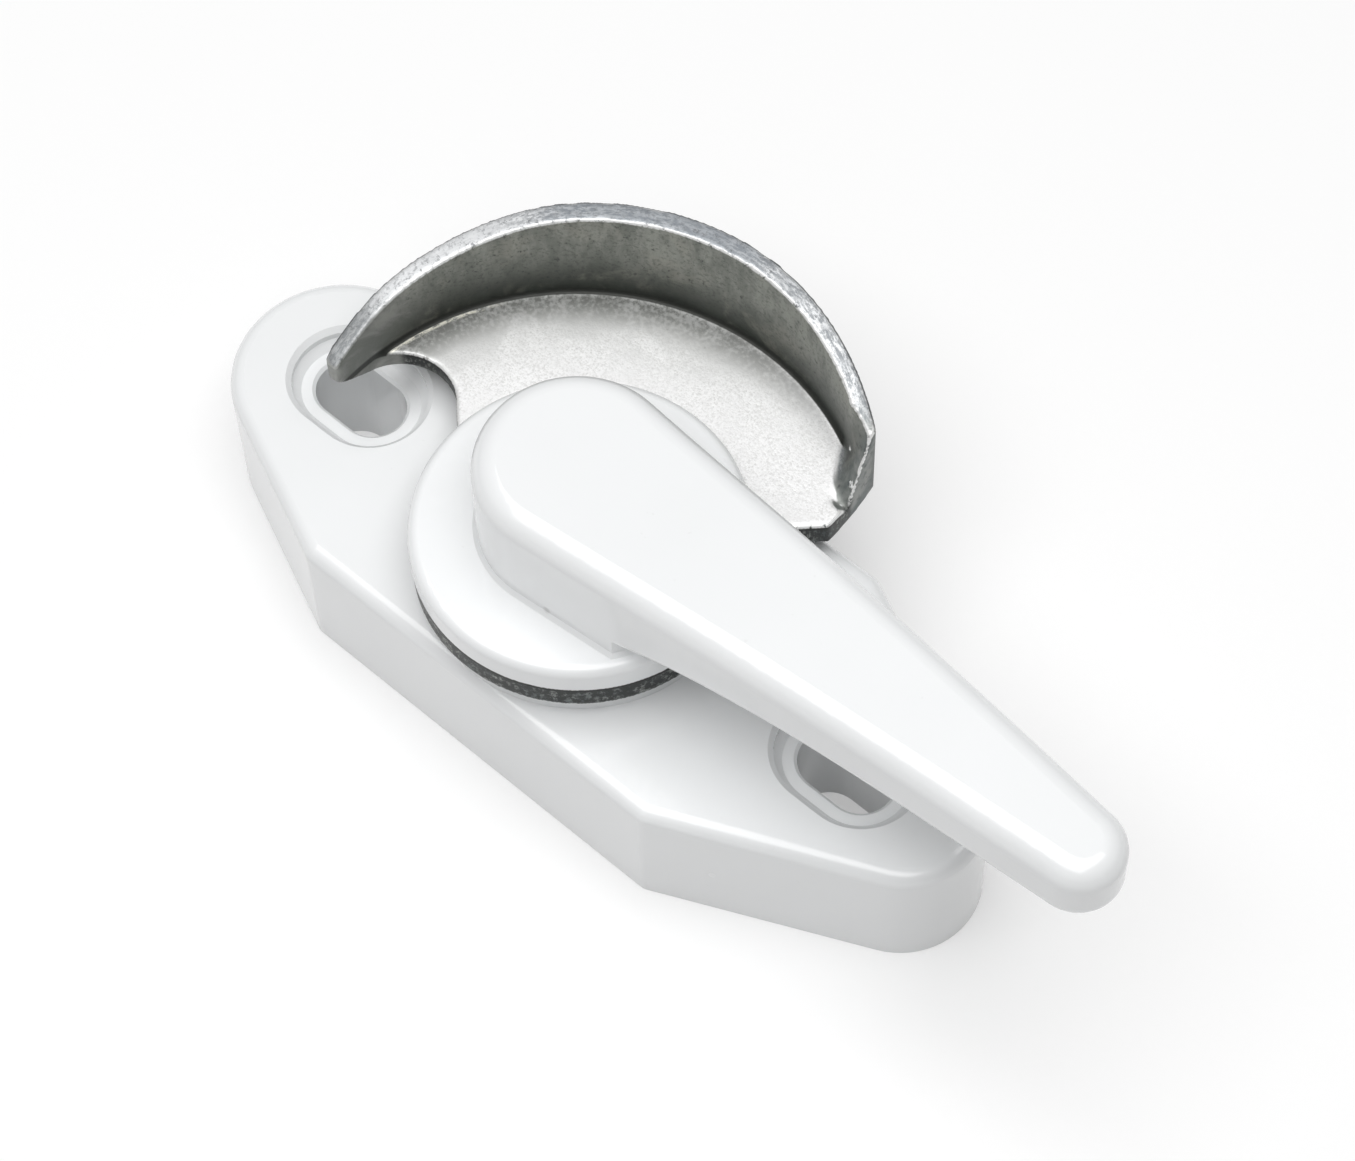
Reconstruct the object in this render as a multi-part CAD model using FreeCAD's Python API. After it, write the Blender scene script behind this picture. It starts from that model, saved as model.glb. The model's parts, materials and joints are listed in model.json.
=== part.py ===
"""Sliding window lock: a crescent cam on a lever, turning on a cast base.

Millimetres. +X runs along the base towards the lever's tip, +Y to the side where the crescent reaches out,
+Z up from the back face. The origin is midway between the screw slots, on the back face. The turning axis stands
a little to one side of it. The lock is drawn locked.
"""
import FreeCAD, Part
import math
import os

os.makedirs("parts", exist_ok=True)
V = FreeCAD.Vector

# The turning axis, from the middle of the screw slots
axis_x = -0.9
axis_y = -0.8

# Base: a long hexagon with rounded ends, the left end a little blunter than the right
base_left = 43.0            # slots' middle to the left end
base_right = 44.3           # slots' middle to the right end
base_half_width = 16.3
base_height = 14.7
mid_left = 21.2             # where the left tapers start
mid_right = 19.9            # where the right tapers start
end_round_left = 10.3
end_round_right = 7.7
corner_round = 1.8
base_top_round = 1.4
wall = 2.4
roof = 3.0

# Screw slots, each in a round-bottomed recess
slot_pitch = 60.0
slot_width = 6.2
slot_length = 9.6
recess_width = 10.6
recess_length = 13.8
recess_depth = 2.0
recess_floor_bevel = 0.8
column_wall = 3.5
column_step = 8.0           # above the back; below this the columns are thinner, down to the back face
column_foot_wall = 2.0
recess_rim = 0.5            # bevel of the recess's rim
slot_rim = 0.3              # bevel of the slot's rim

# Pad and bearing in the middle of the base
pad_radius = 14.6
pad_height = 1.6
pad_bevel = 0.3
bush_outer_radius = 6.0
bush_flange_radius = 8.0
bush_flange = 0.8
tube_wall = 2.6
tube_end = 9.0              # end of the bearing tube above the back
rib = 1.8
rib_end = 6.0

# Clearances
running_gap = 0.05          # radial, journal in its bush
play = 0.1                  # end play between what turns and what stands still
fit_gap = 0.02              # between pieces that are pressed or screwed together
cover_gap = 0.15            # round the back cover

# Crescent cam
sliding_washer_thick = 0.5
sliding_washer_margin = 0.6
plate_thick = 3.0
disc_radius = 15.4
arc_x = -0.74               # centre of the curved wall's inner face, off the turning axis
arc_y = -0.60
arc_inner = 26.9
outer_x = -1.22             # centre of its outer face: the wall thins towards both ends
outer_y = 0.16
arc_outer = 28.1
tail_angle = 44.4           # straight tail edge, seen from the turning axis
tail_reach = 22.4           # turning axis to the tail's corner
tail_turn = 54.0            # where the outer face leaves its circle, seen from that circle's centre
tail_bulge_angle = 50.0     # a point on the tail's side, seen from the turning axis
tail_bulge = 24.7
ramp_angle = 64.0           # where the wall starts to run down into the tail, seen from the arc's centre
tip_angle = 186.3           # end of the hook
tip_round = 0.8
throat_x = -22.55           # the round throat inside the hook
throat_y = -0.4
throat_radius = 5.5
throat_bevel = 1.0          # bevel under the throat's edge
wall_height = 11.9          # above the plate, where the wall is highest
# The wall's top, by angle round the arc's centre, in shares of the wall's height
wall_tops = [(194, -0.210), (190, 0.050), (186, 0.252), (180, 0.387), (172, 0.546), (162, 0.681), (150, 0.807),
             (138, 0.916), (124, 0.975), (108, 1.000), (94, 0.992), (82, 0.933), (72, 0.832), (62, 0.689),
             (50, 0.504), (36, 0.269)]
# The hook's underside, in the same shares
hook_bottoms = [(164, -0.420), (168, -0.336), (172, -0.248), (176, -0.160), (180, -0.071), (183, 0.008), (186, 0.168),
                (190, 0.546)]
# The ramp at the tail, along its inner line and along its outer edge: x and y in shares of the arc's radius, and the
# height in shares of the wall's. It drops from the wall's top to the plate, then runs on to the tail's end.
ramp_inner = [(0.4777, 0.8401, 1.050), (0.4617, 0.8494, 0.756), (0.4517, 0.8550, 0.529), (0.4390, 0.8617, 0.370),
              (0.4212, 0.8706, 0.168), (0.4108, 0.8762, 0), (0.4312, 0.8253, 0), (0.4610, 0.7695, 0),
              (0.4870, 0.7212, 0), (0.5130, 0.6840, 0), (0.5316, 0.6617, 0)]
ramp_outer = [(0.5502, 0.8736, 1.151), (0.5613, 0.8401, 0.857), (0.5688, 0.8178, 0.622), (0.5762, 0.7955, 0.471),
              (0.5799, 0.7770, 0.403), (0.5836, 0.7546, 0.336), (0.5874, 0.7398, 0.252), (0.5892, 0.7212, 0.134),
              (0.5892, 0.7063, 0.042), (0.5892, 0.6952, -0.025), (0.5892, 0.6877, -0.067)]

# Lever and its boss
boss_radius = 15.5
boss_thick = 3.0
boss_round = 1.0
hub_radius = 9.2
lever_tip_radius = 4.1
lever_reach = 56.4          # turning axis to the centre of the tip's round
lever_gap = 4.7             # boss to the underside of the lever
lever_thick = 6.7
lever_arch = 1.0            # rise of the lever's middle above its ends
hub_end = 14.0              # the hub ends in a round face under the lever
lever_top_round = 2.3
lever_under_round = 1.2
hub_foot_bevel = 0.4

# Spindle and what holds it
head_square = 9.0
head_reach = 10.0           # how far the square goes into the lever's hub
journal_radius = 4.3
tail_square = 6.0
detent_thick = 2.8
detent_radius = 6.5
detent_flat = 5.0           # axis to each flat
disc_spring_height = 0.6
disc_spring_radius = 5.8
disc_spring_thick = 0.35
retainer_radius = 6.2
retainer_thick = 0.8
lock_washer_radius = 3.3
lock_washer_thick = 0.7
lock_washer_split = 0.8
screw_radius = 2.0
screw_head_radius = 3.5
screw_head_thick = 1.5
screw_head_bevel = 0.5
screw_length = 9.0
drive_pin_radius = 1.5
drive_pin_offset = 10.8
drive_pin_length = 4.0

# Detent springs and their posts
spring_thick = 0.6
spring_height = 2.6
spring_tab = 1.6
post_inner = 10.9
post_outer = 13.9
post_wall = 1.7
post_end = 5.2

# Back cover and its screws
cover_thick = 1.2
cover_hole_radius = 4.5
cover_screw_inset = 6.1     # from the base's long sides
cover_screw_back = 1.4      # from the start of the shorter taper
cover_post_radius = 2.8
cover_screw_radius = 1.4
cover_screw_head = 2.7
cover_screw_length = 7.5
head_sink = 0.05
cross_width = 0.7
cross_depth = 0.7

# Levels that follow from the sizes
pad_top = base_height + pad_height
plate_bottom = pad_top + sliding_washer_thick + play
plate_top = plate_bottom + plate_thick
boss_top = plate_top + boss_thick
lever_bottom = boss_top + lever_gap
lever_top = lever_bottom + lever_thick
recess_floor = base_height - recess_depth
cover_screw_x = min(mid_left, mid_right) - cover_screw_back
cover_screw_y = base_half_width - cover_screw_inset
ceiling = base_height - roof
bush_bottom = tube_end - bush_flange
detent_top = bush_bottom - play
detent_bottom = detent_top - detent_thick
spindle_end = detent_bottom - disc_spring_height
retainer_bottom = spindle_end - retainer_thick
lock_washer_bottom = retainer_bottom - lock_washer_thick
screw_head_bottom = lock_washer_bottom - screw_head_thick
spring_face = detent_flat + running_gap
spring_reach = post_outer + fit_gap + spring_thick
arc_centre = V(arc_x, arc_y, 0)
outer_centre = V(outer_x, outer_y, 0)
to_axis = V(axis_x, axis_y, 0)
wall_room = 1.2 * wall_height


def at_angle(centre, radius, degrees, z=0.0):
    """Point on a circle round a centre, by its angle from +X."""
    a = math.radians(degrees)
    return V(centre.x + radius * math.cos(a), centre.y + radius * math.sin(a), z)


def cylinder(radius, z0, z1, x=0.0, y=0.0):
    """Upright cylinder between two levels."""
    return Part.makeCylinder(radius, z1 - z0, V(x, y, z0))


def ring(outer, inner, z0, z1):
    """Upright ring round the turning axis."""
    return cylinder(outer, z0, z1).cut(cylinder(inner, z0 - 1, z1 + 1))


def block(x0, x1, y0, y1, z0, z1):
    """Box between two corners."""
    return Part.makeBox(x1 - x0, y1 - y0, z1 - z0, V(x0, y0, z0))


def square_bar(side, z0, z1):
    """Square bar on the turning axis."""
    return block(-side / 2, side / 2, -side / 2, side / 2, z0, z1)


def prism(points, z0, z1):
    """Upright prism over a polygon of (x, y) points."""
    corners = [V(x, y, z0) for x, y in points]
    return Part.Face(Part.makePolygon(corners + corners[:1])).extrude(V(0, 0, z1 - z0))


def slotted_bar(length, width, z0, z1, x=0.0):
    """Upright bar with round ends, its length along X."""
    r = width / 2
    h = length / 2 - r
    edges = [Part.makeLine(V(x - h, -r, z0), V(x + h, -r, z0)),
             Part.Arc(V(x + h, -r, z0), V(x + h + r, 0, z0), V(x + h, r, z0)).toShape(),
             Part.makeLine(V(x + h, r, z0), V(x - h, r, z0)),
             Part.Arc(V(x - h, r, z0), V(x - h - r, 0, z0), V(x - h, -r, z0)).toShape()]
    return Part.Face(Part.Wire(edges)).extrude(V(0, 0, z1 - z0))


def flared(length, width, z, rim, x):
    """The top of a slot, opened out by a bevel just below one level."""
    wide = slotted_bar(length + 2 * rim, width + 2 * rim, z - rim, z, x)
    return wide.makeChamfer(0.98 * rim, flat_edges(wide, z - rim))


def flat_edges(shape, z, keep=lambda edge: True):
    """Edges that lie at one level, with a further choice."""
    return [e for e in shape.Edges
            if abs(e.BoundBox.ZMin - z) < 1e-4 and abs(e.BoundBox.ZMax - z) < 1e-4 and keep(e)]


def upright_edges(shape, keep):
    """Straight upright edges, chosen by where they stand."""
    found = []
    for e in shape.Edges:
        b = e.BoundBox
        if b.ZLength > 1e-3 and b.XLength < 1e-3 and b.YLength < 1e-3 and keep(b.Center):
            found.append(e)
    return found


def touch_angle(px, py, cx, cy, r, side):
    """Angle at which the line from a point touches a circle, on the side +1 or -1."""
    d = math.hypot(px - cx, py - cy)
    return math.atan2(py - cy, px - cx) + side * math.acos(r / d)


def base_outline():
    """The base's outline: two straight sides, four tapers and two round ends."""
    cl = -(base_left - end_round_left)
    cr = base_right - end_round_right
    al = touch_angle(-mid_left, -base_half_width, cl, 0, end_round_left, -1)
    ar = touch_angle(mid_right, -base_half_width, cr, 0, end_round_right, 1)
    near_left = V(-mid_left, -base_half_width, 0)
    near_right = V(mid_right, -base_half_width, 0)
    touch_left = V(cl + end_round_left * math.cos(al), end_round_left * math.sin(al), 0)
    touch_right = V(cr + end_round_right * math.cos(ar), end_round_right * math.sin(ar), 0)
    far_left, far_right = V(near_left.x, -near_left.y, 0), V(near_right.x, -near_right.y, 0)
    up_left, up_right = V(touch_left.x, -touch_left.y, 0), V(touch_right.x, -touch_right.y, 0)
    edges = [Part.makeLine(near_left, near_right),
             Part.makeLine(near_right, touch_right),
             Part.Arc(touch_right, V(base_right, 0, 0), up_right).toShape(),
             Part.makeLine(up_right, far_right),
             Part.makeLine(far_right, far_left),
             Part.makeLine(far_left, up_left),
             Part.Arc(up_left, V(-base_left, 0, 0), touch_left).toShape(),
             Part.makeLine(touch_left, near_left)]
    return Part.Wire(edges)


def inset(wire, distance):
    """The outline moved inwards, as a face."""
    return Part.Face(wire.makeOffset2D(-distance))


def signs():
    """The four corners of a rectangle, as pairs of signs."""
    return [(-1, -1), (1, -1), (1, 1), (-1, 1)]


def spring_slot(sx, sy):
    """Slot in one post for the end of a leaf spring, open towards the back."""
    x0, x1 = sorted((sx * (post_inner - 0.5), sx * (post_outer + 0.5)))
    y0, y1 = sorted((sy * (spring_face - fit_gap), sy * (spring_face + spring_thick + fit_gap)))
    return block(x0, x1, y0, y1, post_end - 1, detent_bottom + spring_height + 2 * fit_gap)


def at_axis(shape):
    """The shape, moved from the origin to the turning axis."""
    moved = shape.copy()
    moved.translate(to_axis)
    return moved


# The base: outer shell, then what stands inside it, then the holes
outline = base_outline()
outer = Part.Face(outline).extrude(V(0, 0, base_height))
corners = upright_edges(outer, lambda p: abs(abs(p.y) - base_half_width) < 1e-3)
outer = outer.makeFillet(corner_round, corners)
outer = outer.makeFillet(base_top_round, flat_edges(outer, base_height))
cavity = inset(outline, wall).extrude(V(0, 0, ceiling))
shell = outer.cut(cavity)
pad = cylinder(pad_radius, ceiling, pad_top)
pad = at_axis(pad.makeChamfer(pad_bevel, flat_edges(pad, pad_top)))

column_length = slot_length + 2 * column_wall
column_width = slot_width + 2 * column_wall
foot_length = slot_length + 2 * column_foot_wall
foot_width = slot_width + 2 * column_foot_wall
tube_radius = bush_outer_radius + tube_wall
rib_start = bush_flange_radius + 2 * play
inside = [at_axis(cylinder(tube_radius, tube_end, ceiling))]
for side in (-1, 1):
    x = side * slot_pitch / 2
    inside.append(slotted_bar(column_length, column_width, column_step, recess_floor, x))
    inside.append(slotted_bar(foot_length, foot_width, 0, column_step, x))
    x0, x1 = sorted((side * rib_start, side * (slot_pitch - column_length + column_wall) / 2))
    inside.append(at_axis(block(x0, x1, -rib / 2, rib / 2, rib_end, ceiling)))
    y0, y1 = sorted((side * rib_start, side * 1.2 * base_half_width))
    inside.append(at_axis(block(-rib / 2, rib / 2, y0, y1, rib_end, ceiling)))
for sx, sy in signs():
    inside.append(cylinder(cover_post_radius, cover_thick, ceiling, sx * cover_screw_x, sy * cover_screw_y))
    x0, x1 = sorted((sx * post_inner, sx * post_outer))
    y0, y1 = sorted((sy * (spring_face - post_wall), sy * (spring_face + spring_thick + post_wall)))
    inside.append(at_axis(block(x0, x1, y0, y1, post_end, ceiling)))
housing = shell.fuse([pad] + [piece.common(outer) for piece in inside])

for side in (-1, 1):
    x = side * slot_pitch / 2
    recess = slotted_bar(recess_length, recess_width, recess_floor, base_height, x)
    recess = recess.makeChamfer(recess_floor_bevel, flat_edges(recess, recess_floor))
    slot = slotted_bar(slot_length, slot_width, -1, recess_floor, x)
    housing = housing.cut(recess.fuse(flared(recess_length, recess_width, base_height, recess_rim, x)))
    housing = housing.cut(slot.fuse(flared(slot_length, slot_width, recess_floor, slot_rim, x)))
housing = housing.cut(at_axis(cylinder(bush_outer_radius, 0, pad_top + 1)))
for sx, sy in signs():
    housing = housing.cut(cylinder(cover_screw_radius + fit_gap, 0, cover_screw_length + 0.5,
                                   sx * cover_screw_x, sy * cover_screw_y))
    housing = housing.cut(at_axis(spring_slot(sx, sy)))
housing = housing.removeSplitter()

# Bearing bush, with its flange under the tube, and the washer on the pad
bore = journal_radius + running_gap
bush = ring(bush_outer_radius, bore, bush_bottom, pad_top)
bush = bush.fuse(ring(bush_flange_radius, bore, bush_bottom, tube_end)).removeSplitter()
sliding_washer = ring(pad_radius - sliding_washer_margin, head_square / 2 + play, pad_top,
                      pad_top + sliding_washer_thick)


def ruled_cutter(levels, z_from, reach):
    """Solid above or below a band whose level follows the angle, straight across the curved wall."""
    sides = []
    for radius in (arc_inner - 6.0, arc_outer + 2.0):
        points = [at_angle(arc_centre, radius, angle, z_from + wall_height * share) for angle, share in levels]
        sides.append(spline(points))
    return Part.makeRuledSurface(sides[0], sides[1]).extrude(V(0, 0, reach))


def spline(points, even=False):
    """Smooth curve through a list of points; an even one passes them at equal steps, so that two curves pair up."""
    curve = Part.BSplineCurve()
    if even:
        curve.interpolate(Points=points, Parameters=[float(i) for i in range(len(points))])
    else:
        curve.interpolate(points)
    return curve.toShape()


def ramp_cutters():
    """Solids in front of the ramp: ruled faces from its inner line to its outer edge, swept inwards and up."""
    inner, outer = [], []
    for a, b in zip(ramp_inner, ramp_outer):
        p = V(arc_inner * a[0], arc_inner * a[1], plate_top + wall_height * a[2])
        q = V(arc_inner * b[0], arc_inner * b[1], plate_top + wall_height * b[2])
        inner.append(p)
        outer.append(q + (q - p).normalize() * 6.0)
    parts = []
    bend = [height for x, y, height in ramp_inner].index(0)
    low, high = inner[bend], inner[0]
    outwards = V(low.x - arc_x, low.y - arc_y, 0).normalize()
    along = V(-outwards.y, outwards.x, 0)
    beside = [p + outwards for p in (low, high, high + along * 5, low + along * 3)]
    beside = Part.Face(Part.makePolygon(beside + beside[:1])).extrude(outwards * -5)
    parts.append(beside.common(cylinder(arc_inner, plate_top, high.z + 1, arc_x, arc_y)))
    drop, run = slice(0, bend + 1), slice(bend, None)
    for part, sweep in ((drop, V(-9, -4, 8)), (drop, V(-6, -9, 8)), (run, V(-6, -9, 8))):
        face = Part.makeRuledSurface(spline(inner[part], even=True), spline(outer[part], even=True))
        parts.append(face.extrude(sweep))
    return parts


# The cam's blank: the outer circle from the hook's end to the tail, the tail's side, and its straight edge
top = plate_top + wall_room
far = 80.0
axis = V(0, 0, 0)
tip_out = outer_centre + V(math.cos(math.radians(tip_angle)), math.sin(math.radians(tip_angle)), 0) * arc_outer
turn = at_angle(outer_centre, arc_outer, tail_turn)
bulge = at_angle(axis, tail_bulge, tail_bulge_angle)
corner = at_angle(axis, tail_reach, tail_angle)
blank_edges = [Part.Arc(tip_out, at_angle(outer_centre, arc_outer, 120.0), turn).toShape(),
               Part.Arc(turn, bulge, corner).toShape(),
               Part.makeLine(corner, axis),
               Part.makeLine(axis, arc_centre),
               Part.makeLine(arc_centre, tip_out)]
blank = Part.Face(Part.Wire(blank_edges)).extrude(V(0, 0, top - plate_bottom))
blank.translate(V(0, 0, plate_bottom))
blank = blank.makeFillet(tip_round, upright_edges(blank, lambda p: p.x < -arc_inner))

# The plate: web and disc, with the throat cut in
throat_side = at_angle(V(throat_x, throat_y, 0), throat_radius, 38.0)
web_side = prism([(0, 0), (2 * corner.x, 2 * corner.y), (far, far), (-far, far), (-far, 1.0), (throat_x, 1.0),
                  (throat_side.x, throat_side.y), (-0.99 * disc_radius, 0)], plate_bottom, plate_top)
plate = blank.common(web_side)
plate = plate.cut(cylinder(throat_radius, plate_bottom - 1, plate_top + 1, throat_x, throat_y))
plate = plate.fuse(cylinder(disc_radius, plate_bottom, plate_top)).removeSplitter()

# The wall: a ring of even thickness, with a full tail that the ramp is cut from
foot = [V(arc_inner * x, arc_inner * y, plate_bottom) for x, y, height in ramp_inner if height == 0]
foot_start = at_angle(arc_centre, arc_inner + 0.5, ramp_angle, plate_bottom)
foot_out = V(far, foot[-1].y, plate_bottom)
foot_far = V(far, far, plate_bottom)
tail_edges = [spline(foot), Part.makeLine(foot[-1], foot_out), Part.makeLine(foot_out, foot_far),
              Part.makeLine(foot_far, foot_start), Part.makeLine(foot_start, foot[0])]
tail = blank.common(Part.Face(Part.Wire(tail_edges)).extrude(V(0, 0, top - plate_bottom)))
crescent = blank.cut(cylinder(arc_inner, plate_bottom - 1, top + 1, arc_x, arc_y)).fuse(tail)
cam = plate.fuse(crescent)
cam = cam.cut(ruled_cutter(wall_tops, plate_top, far))
cam = cam.cut(ruled_cutter(hook_bottoms, plate_top, -far))
for piece in ramp_cutters():
    cam = cam.cut(piece)
cam = cam.removeSplitter()
cam = cam.cut(square_bar(head_square + 2 * fit_gap, plate_bottom - 1, plate_top + 1))
throat_rim = Part.makeCone(throat_radius + throat_bevel, throat_radius, throat_bevel, V(throat_x, throat_y, plate_bottom))
cam = cam.cut(throat_rim)


def lever_outline():
    """Teardrop: the hub's round and the tip's round joined by two straight sides."""
    a = math.acos((hub_radius - lever_tip_radius) / lever_reach)
    hub_near = V(hub_radius * math.cos(a), -hub_radius * math.sin(a), 0)
    tip_near = V(lever_reach + lever_tip_radius * math.cos(a), -lever_tip_radius * math.sin(a), 0)
    hub_far, tip_far_side = V(hub_near.x, -hub_near.y, 0), V(tip_near.x, -tip_near.y, 0)
    return Part.Wire([Part.makeLine(hub_near, tip_near),
                      Part.Arc(tip_near, V(lever_reach + lever_tip_radius, 0, 0), tip_far_side).toShape(),
                      Part.makeLine(tip_far_side, hub_far),
                      Part.Arc(hub_far, V(-hub_radius, 0, 0), hub_near).toShape()])


def arched(shares, z, z_far):
    """Solid between an arched surface at one level and a flat far level, as wide as needed."""
    length = lever_reach + lever_tip_radius
    line = [V(length * along, -far, z + lever_arch * rise) for along, rise in shares]
    ends = [V(line[-1].x, -far, z_far), V(line[0].x, -far, z_far)]
    edges = [spline(line), Part.makeLine(line[-1], ends[0]), Part.makeLine(ends[0], ends[1]),
             Part.makeLine(ends[1], line[0])]
    return Part.Face(Part.Wire(edges)).extrude(V(0, 2 * far, 0))


# The lever's top and its underside, which sweeps down into the hub: shares of its length and of its arch
top_line = [(-0.3, 0.0), (-0.15, 0.0), (0.0, 0.05), (0.17, 0.42), (0.33, 0.85), (0.5, 1.0), (0.67, 0.86),
            (0.83, 0.5), (1.0, 0.0), (1.1, -0.35)]
under_line = [(0.15, -4.2), (0.2, -3.0), (0.25, -2.0), (0.31, -0.95), (0.38, -0.15), (0.46, 0.5), (0.56, 0.85),
              (0.67, 0.86), (0.83, 0.5), (1.0, 0.0), (1.1, -0.35)]

# The handle: boss disc, hub and lever in one casting
lever = Part.Face(lever_outline()).extrude(V(0, 0, lever_thick + lever_gap + 4))
lever.translate(V(0, 0, boss_top - 1))
lever = lever.cut(arched(top_line, lever_top, far))
under = arched(under_line, lever_bottom, boss_top - 5).common(block(0, far, -far, far, boss_top - 2, lever_top))
lever = lever.cut(under.cut(cylinder(hub_end, boss_top - 3, lever_top)))


def rim_edges(shape, z, x_from, below):
    """The lever's rim edges near one arched level, from some x on."""
    found = []
    for e in shape.Edges:
        b = e.BoundBox
        if b.ZMin > z - below and b.ZMax < z + lever_arch + 0.2 and b.XMax > x_from and b.YLength > 0.01:
            if b.XLength > 0.5 or b.YLength > 0.5:
                found.append(e)
    return found


lever = lever.makeFillet(lever_top_round, rim_edges(lever, lever_top, -far, 0.6))
lever = lever.makeFillet(lever_under_round, rim_edges(lever, lever_bottom, hub_end + 1, lever_gap - 0.5))
boss = cylinder(boss_radius, plate_top, boss_top)
boss = boss.makeFillet(boss_round, flat_edges(boss, boss_top))
handle = boss.fuse(lever).removeSplitter()
handle = handle.makeChamfer(hub_foot_bevel, flat_edges(handle, boss_top, lambda e: e.BoundBox.XMax < hub_end + 0.1
                                                       and e.BoundBox.XMin > -hub_radius - 0.1))
handle = handle.cut(square_bar(head_square + 2 * fit_gap, plate_top - 1, plate_bottom + plate_thick + head_reach))

# Spindle: square head, round journal, small square with a tapped end
spindle = square_bar(head_square, plate_bottom, plate_top + head_reach - fit_gap)
spindle = spindle.fuse(cylinder(journal_radius, bush_bottom - play / 2, plate_bottom))
spindle = spindle.fuse(square_bar(tail_square, spindle_end, bush_bottom))
spindle = spindle.cut(cylinder(screw_radius + fit_gap, spindle_end - 1, spindle_end + screw_length + 0.5))
spindle = spindle.removeSplitter()

# Detent block with its two flats
detent = cylinder(detent_radius, detent_bottom, detent_top)
detent = detent.common(block(-far, far, -detent_flat, detent_flat, detent_bottom, detent_top))
detent = detent.cut(square_bar(tail_square + 2 * fit_gap, detent_bottom - 1, detent_top + 1))

# Disc spring: a thin cone ring between the detent block and the retaining washer
cone_inner = tail_square / math.sqrt(2) + play
profile = [V(cone_inner, 0, detent_bottom - disc_spring_thick), V(cone_inner, 0, detent_bottom),
           V(disc_spring_radius, 0, spindle_end + disc_spring_thick), V(disc_spring_radius, 0, spindle_end)]
disc_spring = Part.Face(Part.makePolygon(profile + profile[:1])).revolve(V(0, 0, 0), V(0, 0, 1), 360)

retaining_washer = ring(retainer_radius, screw_radius + play, retainer_bottom, spindle_end)
lock_washer = ring(lock_washer_radius, screw_radius + play, lock_washer_bottom, retainer_bottom)
lock_washer = lock_washer.cut(block(0, far, -lock_washer_split / 2, lock_washer_split / 2,
                                    lock_washer_bottom - 1, retainer_bottom + 1))


def cross_recess(x, y, z0, size):
    """Cross-shaped driver recess, open downwards."""
    w = cross_width / 2
    s = size / 2
    return block(x - s, x + s, y - w, y + w, z0 - 1, z0 + cross_depth).fuse(
        block(x - w, x + w, y - s, y + s, z0 - 1, z0 + cross_depth))


screw = cylinder(screw_head_radius, screw_head_bottom, lock_washer_bottom)
screw = screw.makeChamfer(screw_head_bevel, flat_edges(screw, screw_head_bottom))
screw = screw.fuse(cylinder(screw_radius, lock_washer_bottom, spindle_end + screw_length)).removeSplitter()
screw = screw.cut(cross_recess(0, 0, screw_head_bottom, screw_head_radius))

# Two pins carry the turn from the handle's boss to the cam
pins = []
for side in (-1, 1):
    y = side * drive_pin_offset
    z0 = plate_top - drive_pin_length / 2
    hole = cylinder(drive_pin_radius + fit_gap, z0 - fit_gap, z0 + drive_pin_length + fit_gap, 0, y)
    cam = cam.cut(hole)
    handle = handle.cut(hole)
    pins.append(cylinder(drive_pin_radius, z0, z0 + drive_pin_length, 0, y))


def leaf_spring(side):
    """Steel strip on one flat, with its ends turned outwards behind the posts."""
    y0 = side * spring_face
    y1 = side * (spring_face + spring_thick)
    y2 = side * (spring_face + spring_thick + spring_tab)
    x = spring_reach
    points = [(-x, y0), (x, y0), (x, y2), (x - spring_thick, y2), (x - spring_thick, y1),
              (-x + spring_thick, y1), (-x + spring_thick, y2), (-x, y2)]
    z0 = detent_bottom + fit_gap
    return prism(points, z0, z0 + spring_height)


# Back cover: sheet steel, level with the back face
cover = inset(outline, wall + cover_gap).extrude(V(0, 0, cover_thick))
cover = cover.cut(at_axis(cylinder(cover_hole_radius, -1, cover_thick + 1)))
for side in (-1, 1):
    cover = cover.cut(slotted_bar(foot_length + 2 * cover_gap, foot_width + 2 * cover_gap, -1,
                                  cover_thick + 1, side * slot_pitch / 2))
cover_screws = []
for sx, sy in signs():
    x, y = sx * cover_screw_x, sy * cover_screw_y
    head_z = cover_thick - head_sink
    sink = Part.makeCone(cover_screw_head + fit_gap, cover_screw_radius + fit_gap, head_z, V(x, y, head_sink))
    cover = cover.cut(sink.fuse(cylinder(cover_screw_head + fit_gap, -1, head_sink, x, y)))
    head = Part.makeCone(cover_screw_head, cover_screw_radius, head_z, V(x, y, head_sink))
    body = head.fuse(cylinder(cover_screw_radius, head_sink + head_z, cover_screw_length, x, y)).removeSplitter()
    cover_screws.append(body.cut(cross_recess(x, y, head_sink, cover_screw_head * 1.3)))

nodes = {
    "base_housing": housing,
    "bearing_bush": at_axis(bush),
    "sliding_washer": at_axis(sliding_washer),
    "crescent_cam": at_axis(cam),
    "handle": at_axis(handle),
    "spindle": at_axis(spindle),
    "drive_pin_near": at_axis(pins[0]),
    "drive_pin_far": at_axis(pins[1]),
    "detent_block": at_axis(detent),
    "detent_spring_near": at_axis(leaf_spring(-1)),
    "detent_spring_far": at_axis(leaf_spring(1)),
    "disc_spring": at_axis(disc_spring),
    "retaining_washer": at_axis(retaining_washer),
    "lock_washer": at_axis(lock_washer),
    "retaining_screw": at_axis(screw),
    "back_cover": cover,
    "cover_screw_1": cover_screws[0],
    "cover_screw_2": cover_screws[1],
    "cover_screw_3": cover_screws[2],
    "cover_screw_4": cover_screws[3],
}

for name, shape in nodes.items():
    solids = shape.Solids
    b = shape.BoundBox
    print(name, "solids", len(solids), "valid", shape.isValid(), "volume", round(shape.Volume, 1),
          "box", [round(v, 2) for v in (b.XMin, b.YMin, b.ZMin, b.XMax, b.YMax, b.ZMax)])
    (solids[0] if len(solids) == 1 else shape).exportStep("parts/%s.step" % name)
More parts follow.
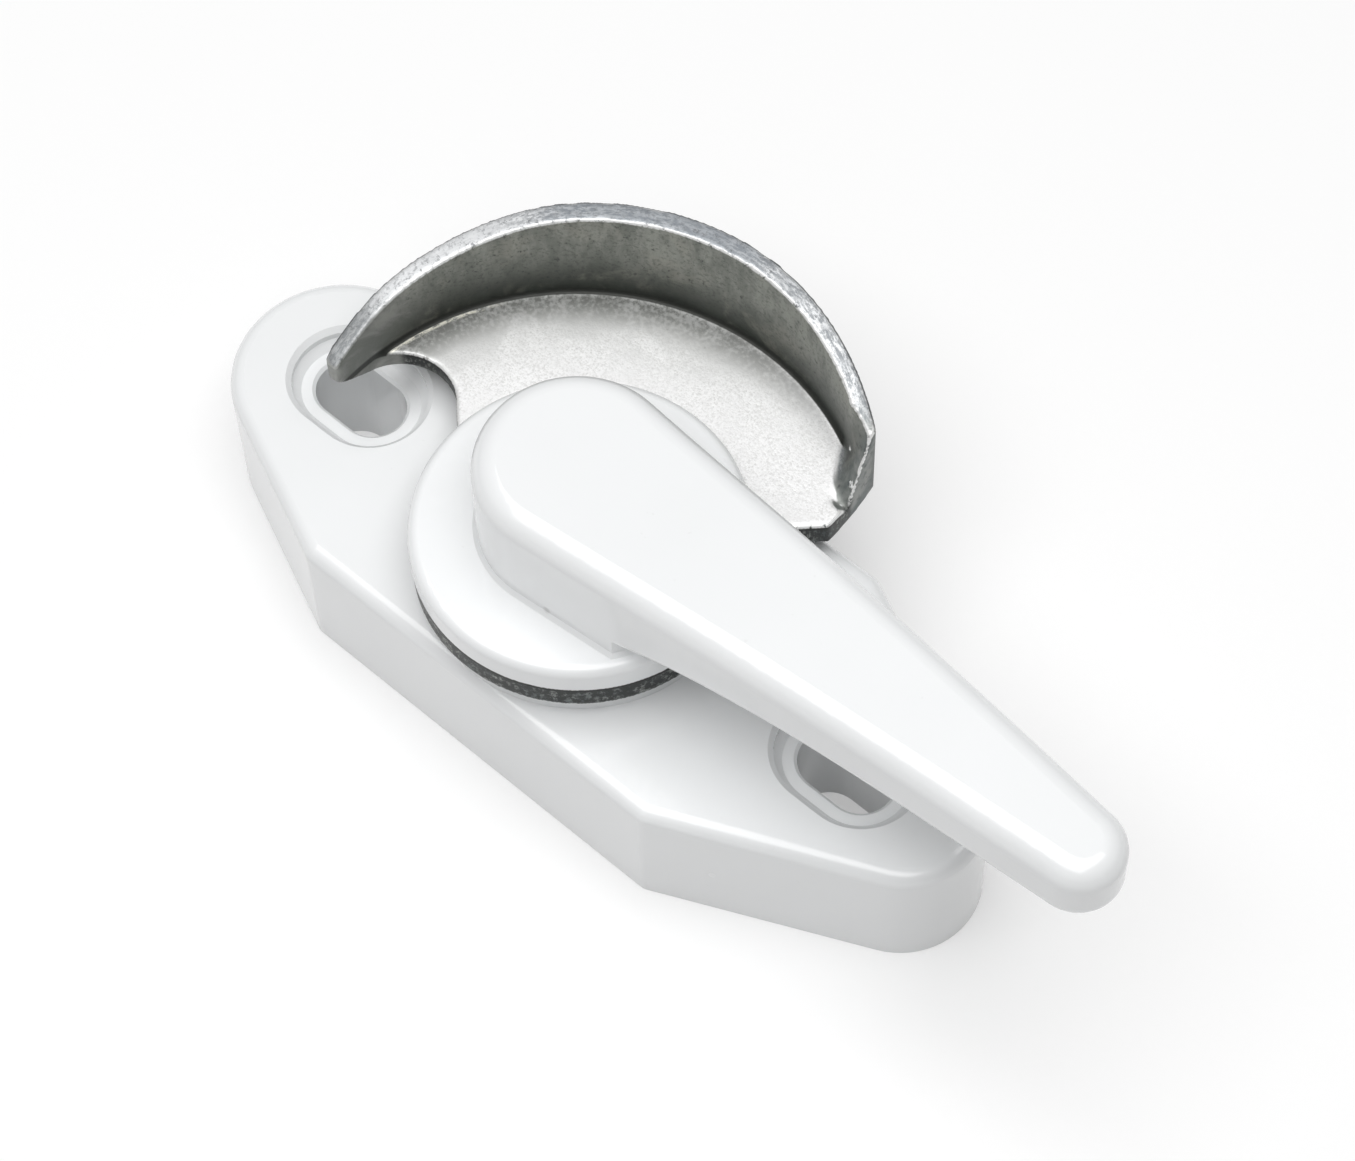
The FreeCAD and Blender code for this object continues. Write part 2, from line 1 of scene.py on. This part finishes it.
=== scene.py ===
# %% [markdown]
# # A sliding window lock in white enamel and bare zinc
# The lock comes from the CAD model piece by piece, in metres, lying on its back with +Z up. This script gives each
# piece the finish of the real one, softens the edges of the bare casting, and sets the lock on a pale table.

# %% Load the lock
import json
import math

import bpy
import numpy as np
from mathutils import Matrix, Vector


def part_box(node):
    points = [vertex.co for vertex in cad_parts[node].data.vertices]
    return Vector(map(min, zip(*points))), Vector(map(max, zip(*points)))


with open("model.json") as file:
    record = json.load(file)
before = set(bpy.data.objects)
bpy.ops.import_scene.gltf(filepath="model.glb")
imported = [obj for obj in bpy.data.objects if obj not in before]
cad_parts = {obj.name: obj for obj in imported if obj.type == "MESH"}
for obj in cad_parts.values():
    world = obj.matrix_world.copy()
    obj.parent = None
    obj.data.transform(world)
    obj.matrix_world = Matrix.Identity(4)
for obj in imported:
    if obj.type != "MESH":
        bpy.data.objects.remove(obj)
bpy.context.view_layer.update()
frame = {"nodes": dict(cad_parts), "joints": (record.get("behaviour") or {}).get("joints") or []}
nodes = frame["nodes"]
MM = 0.001

# %% [markdown]
# ## Where things are
# A few sizes of the lock are needed again here. The turning axis comes from the joint, and the level of the
# crescent's plate is where the handle's boss sits on it. The crescent's wall stands on two circles, one for each of
# its faces, a little off the turning axis and off each other.

# %% Named places
axis = Vector(frame["joints"][0]["pos_m"])
plate_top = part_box("handle")[0][2]
inner_centre = axis + Vector((-0.74, -0.60, 0)) * MM
inner_radius = 26.9 * MM
outer_centre = axis + Vector((-1.22, 0.16, 0)) * MM
outer_radius = 28.1 * MM
print("top of the plate at", round(plate_top / MM, 2), "mm")

# %% [markdown]
# ## The camera
# The photograph looks down on the lock from the near right side, from far away, so the edges hardly converge.
# The view was worked out from the lock's own edges: a place in metres and three directions.

# %% Camera
photo_width = 1355
focal_pixels = 4000
camera_place = Vector((0.130964, -0.128012, 0.330566))
right = Vector((0.7475988, 0.66392307, -0.0173835))
up = Vector((-0.56950092, 0.65430375, 0.4975493))
back = Vector((0.34170855, -0.36206734, 0.8672615))

cam_data = bpy.data.cameras.new("camera")
cam_data.sensor_width = 36.0
cam_data.lens = cam_data.sensor_width * focal_pixels / photo_width
cam_data.clip_start = 0.01
cam_data.clip_end = 10.0
camera = bpy.data.objects.new("camera", cam_data)
bpy.context.scene.collection.objects.link(camera)
turn = Matrix((right, up, back)).transposed()
camera.matrix_world = Matrix.Translation(camera_place) @ turn.to_4x4()
bpy.context.scene.camera = camera
print("lens", round(cam_data.lens, 1), "mm")

# %% [markdown]
# ## Writing a finish
# Every finish below is a tree of shader nodes. This helper adds one node per call and returns its output, so that a
# finish reads like a recipe: patterns first, then what they do to colour, roughness and relief.

# %% Finish helper
class Finish:
    """A material under construction; each call adds a node, links what it is given and returns the result."""

    def __init__(self, name):
        self.material = bpy.data.materials.new(name)
        self.material.use_nodes = True
        self.tree = self.material.node_tree
        self.tree.nodes.clear()
        self.place = self.node("ShaderNodeTexCoord").outputs["Object"]
        self.facing = self.place.node.outputs["Normal"]

    def node(self, kind, **settings):
        made = self.tree.nodes.new(kind)
        for key, value in settings.items():
            setattr(made, key, value)
        return made

    def put(self, socket, value):
        """A number, a colour or another node's output, put into a socket."""
        if isinstance(value, bpy.types.NodeSocket):
            self.tree.links.new(value, socket)
        elif value is not None:
            socket.default_value = (*value, 1) if isinstance(value, tuple) and len(value) == 3 else value

    def calc(self, operation, a, b=None, c=None):
        """One step of arithmetic."""
        made = self.node("ShaderNodeMath", operation=operation)
        for socket, value in zip(made.inputs, (a, b, c)):
            self.put(socket, value)
        return made.outputs[0]

    def times(self, first, *others):
        """The product of two or more shares: where all of them hold."""
        for other in others:
            first = self.calc("MULTIPLY", first, other)
        return first

    def flip(self, share):
        """Where a share does not hold."""
        return self.calc("SUBTRACT", 1.0, share)

    def rise(self, value, start, end, low=0.0, high=1.0):
        """Smooth step: low before start, high after end."""
        made = self.node("ShaderNodeMapRange", interpolation_type="SMOOTHSTEP")
        for socket, number in zip(made.inputs, (value, start, end, low, high)):
            self.put(socket, number)
        return made.outputs[0]

    def shift(self, centre=(0, 0, 0), stretch=(1, 1, 1)):
        """The place on the piece, from another centre and stretched along each direction."""
        made = self.node("ShaderNodeMapping", vector_type="POINT")
        made.inputs["Location"].default_value = [-c * s for c, s in zip(centre, stretch)]
        made.inputs["Scale"].default_value = stretch
        self.put(made.inputs["Vector"], self.place)
        return made.outputs[0]

    def split(self, vector):
        """A vector's three numbers."""
        made = self.node("ShaderNodeSeparateXYZ")
        self.put(made.inputs[0], vector)
        return made.outputs

    def distance(self, centre, stretch=(1, 1, 1)):
        """How far a place is from a centre."""
        made = self.node("ShaderNodeVectorMath", operation="LENGTH")
        self.put(made.inputs[0], self.shift(centre, stretch))
        return made.outputs["Value"]

    def grain(self, size, detail=3.0, rough=0.55, where=None, swirl=0.0):
        """Cloudy noise whose blotches are about as large as size, in metres."""
        made = self.node("ShaderNodeTexNoise")
        self.put(made.inputs["Vector"], where or self.place)
        made.inputs["Scale"].default_value = 0.5 / size
        made.inputs["Detail"].default_value = detail
        made.inputs["Roughness"].default_value = rough
        made.inputs["Distortion"].default_value = swirl
        return made.outputs["Fac"]

    def blend(self, share, a, b):
        """Two colours mixed by a share from 0 to 1."""
        made = self.node("ShaderNodeMix", data_type="RGBA")
        for socket, value in zip((made.inputs[0], made.inputs[6], made.inputs[7]), (share, a, b)):
            self.put(socket, value)
        return made.outputs[2]

    def relief(self, height, depth, strength=1.0, under=None):
        """Bump from a height from 0 to 1, as deep as depth in metres."""
        made = self.node("ShaderNodeBump")
        made.inputs["Strength"].default_value = strength
        made.inputs["Distance"].default_value = depth
        self.put(made.inputs["Height"], height)
        self.put(made.inputs["Normal"], under)
        return made.outputs[0]

    def done(self, colour, rough, relief=None, **fixed):
        """The shader itself, with its fixed values by socket name."""
        skin = self.node("ShaderNodeBsdfPrincipled")
        self.put(skin.inputs["Base Color"], colour)
        self.put(skin.inputs["Roughness"], rough)
        self.put(skin.inputs["Normal"], relief)
        for key, value in fixed.items():
            skin.inputs[key.replace("_", " ")].default_value = value
        out = self.node("ShaderNodeOutputMaterial")
        self.tree.links.new(skin.outputs[0], out.inputs["Surface"])
        print(self.material.name, "has", len(self.tree.nodes), "nodes")
        return self.material


# %% [markdown]
# ## White enamel
# Base and handle are zinc castings with a thick, glossy white coat. The coat flows a little before it sets, which
# leaves a very faint wavy surface and clouds of slightly different gloss. The colour itself is a cool white. One
# small grey speck sits low on the hub, where the coat ran thin.

# %% White enamel
speck_place = Vector((3.3, -9.65, 23.6)) * MM

coat = Finish("white_enamel")
cloud = coat.grain(9 * MM, detail=2.0)
waves = coat.grain(1.6 * MM, detail=1.0)
dust = coat.grain(0.35 * MM, detail=2.0)
tone = coat.blend(coat.rise(cloud, 0.35, 0.65), (0.900, 0.912, 0.918), (0.882, 0.894, 0.900))
tone = coat.blend(coat.rise(dust, 0.72, 0.80, 0.0, 0.2), tone, (0.72, 0.72, 0.71))
in_speck = coat.rise(coat.distance(speck_place), 0.55 * MM, 0.15 * MM, 0.0, 0.55)
tone = coat.blend(in_speck, tone, (0.52, 0.52, 0.51))
gloss = coat.calc("MULTIPLY_ADD", cloud, 0.10, 0.20)
skin_waves = coat.relief(waves, 0.010 * MM, 0.5)
white_enamel = coat.done(tone, gloss, skin_waves, Coat_Weight=0.60, Coat_Roughness=0.03, IOR=1.45)

# %% [markdown]
# ## Bare zinc
# The crescent is a bare casting, and no two parts of it look alike. One recipe covers all of it, from four measures
# of a place: its radius and angle about the wall's centre, its height, and how far its face looks up. The angle is 0
# at +Y, about -90 degrees at the hooked tip and about 45 at the tail.

# %% Bare zinc, the measures
cast = Finish("bare_zinc")
side, ahead, height = cast.split(cast.shift(centre=inner_centre))
radius = cast.calc("SQRT", cast.calc("ADD", cast.times(side, side), cast.times(ahead, ahead)))
angle = cast.calc("ARCTAN2", side, ahead)
upness = cast.split(cast.facing)[2]


def along(start, end, low=0.0, high=1.0):
    """Smooth step along the wall, from one angle to another, in degrees."""
    return cast.rise(angle, math.radians(start), math.radians(end), low, high)


def outward(start, end):
    """Smooth step between two distances from the wall's inner face, in mm, minus towards the disc."""
    return cast.rise(radius, inner_radius + start * MM, inner_radius + end * MM)


def upward(start, end):
    """Smooth step between two heights over the plate's top, in mm."""
    return cast.rise(height, plate_top + start * MM, plate_top + end * MM)


def unrolled(stretch_along, stretch_up):
    """Place on the wall as if unrolled: arc length, twice the radius, and height, the first and last stretched."""
    flat = cast.node("ShaderNodeCombineXYZ")
    cast.put(flat.inputs[0], cast.times(angle, inner_radius * stretch_along))
    cast.put(flat.inputs[1], cast.times(radius, 2.0))
    cast.put(flat.inputs[2], cast.times(height, stretch_up))
    return flat.outputs[0]


looks_up = cast.rise(upness, 0.45, 0.75)
above = upward(0.10, 0.35)
tail = along(31, 37)
print("measures:", len(cast.tree.nodes), "nodes")

# %% [markdown]
# ### Its patterns
# Sand, grit and flecks are the grain of the casting at three sizes, and patches are stains. Scrapes run along the
# rim, where stones and the keeper rubbed it, and runs go down the wall, so both are drawn on the unrolled wall.

# %% Bare zinc, the patterns
sand = cast.grain(0.10 * MM, detail=2.0, rough=0.7)
fleck = cast.grain(0.40 * MM, detail=5.0, rough=0.72)
grit = cast.grain(0.20 * MM, detail=4.0, rough=0.7)
patch = cast.grain(2.6 * MM, detail=5.0, rough=0.62, swirl=0.5)
scrape = cast.grain(0.34 * MM, detail=6.0, rough=0.78, where=unrolled(0.62, 1.0))
runs = cast.grain(1.1 * MM, detail=5.0, rough=0.65, where=unrolled(1.0, 0.35))
print("with patterns:", len(cast.tree.nodes), "nodes")

# %% [markdown]
# ### Its plate
# The plate was tumbled and is light and sandy. Dirt stayed where stones couldn't reach, as soot close to the foot of
# the wall and as a wider, weaker smudge around it. Both fade out towards the tail.

# %% Bare zinc, the plate
dirty_patch = cast.rise(cast.calc("MULTIPLY_ADD", patch, 0.5, grit), 0.62, 0.86, 0.25, 1.0)
soot = cast.times(outward(-4.4, -0.4), along(38, -25), dirty_patch)
smudge = cast.times(outward(-9.5, -1.0), along(22, -18, 0.0, 0.75), cast.rise(patch, 0.32, 0.60, 0.5, 1.0))
plate_tone = cast.blend(cast.rise(sand, 0.28, 0.60), (0.70, 0.70, 0.69), (0.95, 0.95, 0.95))
plate_tone = cast.blend(cast.rise(patch, 0.38, 0.66, 0.0, 0.6), plate_tone, (0.86, 0.86, 0.86))
plate_tone = cast.blend(cast.rise(fleck, 0.64, 0.74, 0.0, 0.6), plate_tone, (0.34, 0.34, 0.33))
plate_tone = cast.blend(smudge, plate_tone, (0.46, 0.465, 0.45))
plate_tone = cast.blend(soot, plate_tone, (0.22, 0.225, 0.21))
print("with the plate:", len(cast.tree.nodes), "nodes")

# %% [markdown]
# ### Its rim
# The rim is ground metal: mid grey with scraped, silvery places. It is brightest towards the tip, dull and bluish on
# top, and dark again at both ends.

# %% Bare zinc, the rim
scraped = cast.times(cast.rise(scrape, 0.46, 0.56, 0.0, 0.85), cast.rise(patch, 0.44, 0.56, 0.3, 1.0))
silvery = cast.times(along(-88, -78), along(-44, -58, 0.0, 0.8), cast.rise(patch, 0.34, 0.54, 0.35, 1.0))
dull_top = cast.times(along(-52, -40), along(2, -8, 0.0, 0.55))
rim_tone = cast.blend(cast.rise(scrape, 0.40, 0.60), (0.30, 0.315, 0.33), (0.58, 0.595, 0.61))
rim_tone = cast.blend(scraped, rim_tone, (0.82, 0.83, 0.84))
rim_tone = cast.blend(silvery, rim_tone, (0.84, 0.85, 0.86))
rim_tone = cast.blend(dull_top, rim_tone, (0.26, 0.29, 0.325))
rim_tone = cast.blend(cast.rise(fleck, 0.59, 0.68, 0.0, 0.7), rim_tone, (0.17, 0.175, 0.18))
rim_tone = cast.blend(cast.rise(grit, 0.50, 0.64, 0.0, 0.5), rim_tone, (0.20, 0.21, 0.22))
rim_tone = cast.blend(along(24, 36, 0.0, 0.7), rim_tone, (0.20, 0.22, 0.22))
rim_tone = cast.blend(along(-76, -88, 0.0, 0.55), rim_tone, (0.22, 0.23, 0.23))
print("with the rim:", len(cast.tree.nodes), "nodes")

# %% [markdown]
# ### Its wall and its ramp
# The wall kept the grey-green skin of the mould, almost black at the foot and lighter higher up, with runs and
# stains. The hooked tip is a lighter grey, and the ramp at the tail is a dark, blotchy blue-grey.

# %% Bare zinc, the wall and the ramp
wall_tone = cast.blend(upward(0.2, 8.5), (0.035, 0.04, 0.034), (0.31, 0.32, 0.285))
wall_tone = cast.blend(cast.rise(runs, 0.36, 0.64, 0.0, 0.55), wall_tone, (0.075, 0.085, 0.072))
wall_tone = cast.blend(cast.rise(patch, 0.50, 0.72, 0.0, 0.40), wall_tone, (0.36, 0.35, 0.30))
wall_tone = cast.blend(cast.rise(grit, 0.48, 0.66, 0.0, 0.45), wall_tone, (0.05, 0.058, 0.052))
wall_tone = cast.blend(cast.rise(fleck, 0.60, 0.70, 0.0, 0.7), wall_tone, (0.05, 0.055, 0.05))
tip_tone = cast.blend(cast.rise(patch, 0.40, 0.62), (0.22, 0.23, 0.21), (0.42, 0.42, 0.40))
wall_tone = cast.blend(along(-68, -86, 0.0, 0.8), wall_tone, tip_tone)
ramp_tone = cast.blend(cast.rise(patch, 0.40, 0.66), (0.085, 0.105, 0.105), (0.27, 0.28, 0.265))
ramp_tone = cast.blend(cast.rise(fleck, 0.52, 0.68, 0.0, 0.8), ramp_tone, (0.05, 0.06, 0.06))
wall_tone = cast.blend(tail, wall_tone, ramp_tone)
print("with the wall:", len(cast.tree.nodes), "nodes")

# %% [markdown]
# ### Plate, rim and wall in one
# What looks up is plate below and rim above, and all other faces are wall. At the tail even the faces that lean
# back are ramp. Painted shade makes near-black lines in the crease at the wall's foot and along the top of the
# disc's rim under the boss; the rest of the disc's rim is near-black too, with lighter streaks.

# %% Bare zinc, the parts put together
# Painted shade: a near-black line on the plate, in the crease at the wall's foot.
painted_crease_shade = cast.times(outward(-0.52, -0.38), upward(0.7, 0.3), upward(-0.5, -0.2), outward(0.8, 0.4), cast.flip(tail))
lean = cast.times(tail, cast.calc("MAXIMUM", above, cast.rise(upness, 0.985, 0.94)))
tone = cast.blend(cast.times(looks_up, cast.flip(lean)), wall_tone, cast.blend(above, plate_tone, rim_tone))
tone = cast.blend(painted_crease_shade, tone, (0.03, 0.032, 0.028))

inside_wall = outward(-1.0, -1.6)
disc_side = cast.times(upward(-0.35, -0.7), inside_wall, cast.rise(scrape, 0.60, 0.50))
tone = cast.blend(disc_side, tone, (0.016, 0.019, 0.018))
# Painted shade: a near-black line along the top of the disc's rim, right under the boss.
painted_shade_under_boss = cast.times(upward(-0.85, -0.45), cast.rise(upness, 0.5, 0.3), inside_wall, upward(0.05, -0.05))
tone = cast.blend(painted_shade_under_boss, tone, (0.010, 0.011, 0.010))
print("in one:", len(cast.tree.nodes), "nodes")

# %% [markdown]
# ### Its edges
# Handling rubs the edges bright, and this brightening of the rounded edges is also a painted highlight. The rim's
# outer edge is the one that stayed dark. A pale line of flash, left where the mould's halves met, runs along the
# wall's foot near the tip. Pits and sand give the skin its relief.

# %% Bare zinc, the edges and the end
from_outer_centre = cast.distance(outer_centre, stretch=(1, 1, 0))
outer_edge = cast.times(cast.rise(from_outer_centre, outer_radius - 0.30 * MM, outer_radius - 0.14 * MM),
                        upward(1.5, 2.5), cast.rise(upness, 0.12, 0.30), cast.flip(tail))
flash_line = cast.times(outward(-0.85, -0.65), outward(-0.38, -0.52), along(-54, -64), looks_up,
                        cast.rise(scrape, 0.47, 0.53))
tone = cast.blend(flash_line, tone, (0.82, 0.80, 0.70))

convexity = cast.node("ShaderNodeNewGeometry").outputs["Pointiness"]
# The rounded edges turn pale: rubbed wear, and a painted highlight as well.
rubbed_and_highlit = cast.times(cast.rise(upness, 0.10, 0.25), cast.rise(upness, 0.99, 0.93), cast.rise(convexity, 0.515, 0.535),
                    cast.flip(painted_crease_shade), along(-86, -74, 0.25, 1.0), cast.flip(outer_edge),
                    cast.rise(fleck, 0.66, 0.52))
tone = cast.blend(rubbed_and_highlit, tone, (0.90, 0.90, 0.89))
tone = cast.blend(cast.times(outer_edge, 0.75), tone, (0.09, 0.095, 0.10))

rough = cast.calc("MULTIPLY_ADD", fleck, 0.25, 0.33)
pits = cast.relief(fleck, 0.030 * MM, 0.7)
bare_zinc = cast.done(tone, rough, cast.relief(sand, 0.010 * MM, 0.7, under=pits), Metallic=0.45)

# %% [markdown]
# ## Steel and plastic inside
# The spindle and what holds it show only from behind or through the slots. Turned steel carries fine rings, spring
# steel is blue-grey, sheet zinc plate has a faint frosty bloom, and the acetal bearings are smooth ivory plastic.

# %% Inner finishes
def metal(name, dark, light, size, rough, stretch=(1, 1, 1)):
    """Worn metal: two tones by a stretched noise, the same noise in the gloss and a little relief."""
    made = Finish(name)
    lines = made.grain(size, detail=4.0, where=made.shift(stretch=stretch))
    tone = made.blend(made.rise(lines, 0.3, 0.7), dark, light)
    gloss = made.calc("MULTIPLY_ADD", lines, 0.2, rough)
    return made.done(tone, gloss, made.relief(lines, 0.01 * MM, 0.5), Metallic=1.0)


turned_steel = metal("turned_steel", (0.42, 0.42, 0.43), (0.62, 0.62, 0.62), 0.5 * MM, 0.22, (1, 1, 8))
spring_steel = metal("spring_steel", (0.14, 0.15, 0.18), (0.30, 0.31, 0.34), 0.8 * MM, 0.25, (0.3, 1, 1))
zinc_plate = metal("zinc_plate", (0.55, 0.56, 0.57), (0.72, 0.72, 0.71), 1.5 * MM, 0.28)

plastic = Finish("acetal")
haze = plastic.grain(1.2 * MM)
ivory = plastic.blend(haze, (0.78, 0.77, 0.72), (0.84, 0.83, 0.79))
acetal = plastic.done(ivory, plastic.calc("MULTIPLY_ADD", haze, 0.15, 0.3), plastic.relief(haze, 0.006 * MM, 0.4))

# %% [markdown]
# ## Dressing the pieces
# Each piece takes its finish in its only slot. Pieces that aren't named here are turned steel.

# %% Dressing
wearers = {
    white_enamel: ["base_housing", "handle"],
    bare_zinc: ["crescent_cam"],
    acetal: ["bearing_bush", "sliding_washer"],
    spring_steel: ["detent_spring_near", "detent_spring_far", "disc_spring", "lock_washer"],
    zinc_plate: ["back_cover", "cover_screw_1", "cover_screw_2", "cover_screw_3", "cover_screw_4"],
}
finishes = {name: finish for finish, names in wearers.items() for name in names}
for name, node in nodes.items():
    node.data.materials.clear()
    node.data.materials.append(finishes.get(name, turned_steel))
print("dressed:", len(finishes), "by name and", len(nodes) - len(finishes), "in turned steel")

# %% [markdown]
# ## The tumbled casting
# The crescent gets the soft edges of a casting that was tumbled with stones: Remesh rebuilds its skin from a fine
# lattice, and Smooth lets the edges sink by about a tenth of a millimetre. The rounded edges then have a curvature
# that the zinc finish reads, and it brightens them as rubbed metal and as a painted highlight.

# %% The tumbled casting
lattice_step = 0.225 * MM
passes = 6

tumbled = nodes["crescent_cam"]
weld = tumbled.modifiers.new("weld", "WELD")
weld.merge_threshold = 0.001 * MM
lattice = tumbled.modifiers.new("lattice", "REMESH")
lattice.mode = "VOXEL"
lattice.voxel_size = lattice_step
lattice.use_smooth_shade = True
tumble = tumbled.modifiers.new("tumble", "SMOOTH")
tumble.factor = 0.5
tumble.iterations = passes
bpy.context.view_layer.update()
skin = tumbled.evaluated_get(bpy.context.evaluated_depsgraph_get()).to_mesh()
print("crescent's skin:", len(skin.polygons), "faces")

# %% [markdown]
# ## The table
# A plain pale sheet. It shows white to the camera and in reflections, and it still takes the lock's soft shadow:
# a matte shader carries the shadow, and a little glow that only camera and mirror rays see lifts it to white.

# %% Table
table_size = 6.0
table_level = -0.05 * MM
table_grey = 0.68
table_glow = 0.31


def sheet_grid(size, z, count=9):
    """Flat square in metres, centred on the lock, as a grid of points at one height."""
    line = np.linspace(-size / 2, size / 2, count)
    x, y = np.meshgrid(line, line)
    points = np.stack([x.ravel(), y.ravel(), np.full(x.size, z)], axis=1)
    k = np.arange(count * count).reshape(count, count)
    faces = np.stack([k[:-1, :-1], k[:-1, 1:], k[1:, 1:], k[1:, :-1]], axis=-1).reshape(-1, 4)
    return points, faces


def new_piece(name, points, faces):
    """Mesh object at the origin from arrays of points and faces."""
    mesh = bpy.data.meshes.new(name)
    mesh.from_pydata(points.tolist(), [], faces.tolist())
    mesh.update()
    piece = bpy.data.objects.new(name, mesh)
    bpy.context.scene.collection.objects.link(piece)
    return piece


table = new_piece("table", *sheet_grid(table_size, table_level))
paper = Finish("table_white")
seen = paper.node("ShaderNodeLightPath")
matte = paper.node("ShaderNodeBsdfDiffuse")
paper.put(matte.inputs["Color"], (table_grey, table_grey, table_grey))
glow = paper.node("ShaderNodeEmission")
mirror_or_camera = paper.calc("MAXIMUM", seen.outputs["Is Camera Ray"], seen.outputs["Is Glossy Ray"])
paper.put(glow.inputs["Strength"], paper.times(mirror_or_camera, table_glow))
both = paper.node("ShaderNodeAddShader")
paper.put(both.inputs[0], matte.outputs[0])
paper.put(both.inputs[1], glow.outputs[0])
paper.put(paper.node("ShaderNodeOutputMaterial").inputs["Surface"], both.outputs[0])
table.data.materials.append(paper.material)
print("table:", table_size, "m wide,", len(table.data.polygons), "faces")

# %% [markdown]
# ## The light
# The photograph's light is soft and even. One wide lamp hangs above the lock, a little to the near side, so that the
# upper faces are brightest and the walls fall off gently, and a dim white surrounding fills the shadows.

# %% Lamp and world
middle = Vector((0.005, 0.0, 0.015))
lamp_place = Vector((0.02, -0.09, 0.75))
lamp_size = 0.80
lamp_watts = 6.3
surround = 0.20

lamp_data = bpy.data.lights.new("lamp_top", "AREA")
lamp_data.shape = "SQUARE"
lamp_data.size = lamp_size
lamp_data.energy = lamp_watts
lamp = bpy.data.objects.new("lamp_top", lamp_data)
aim = (middle - lamp_place).to_track_quat("-Z", "Y")
lamp.matrix_world = Matrix.Translation(lamp_place) @ aim.to_matrix().to_4x4()
bpy.context.scene.collection.objects.link(lamp)

world = bpy.data.worlds.new("studio")
bpy.context.scene.world = world
world.use_nodes = True
sky = world.node_tree.nodes["Background"]
sky.inputs["Color"].default_value = (1.0, 1.0, 1.0, 1)
sky.inputs["Strength"].default_value = surround
bpy.context.scene.view_settings.view_transform = "Standard"
print("lamp", round((middle - lamp_place).length, 2), "m away,", lamp_watts, "W")
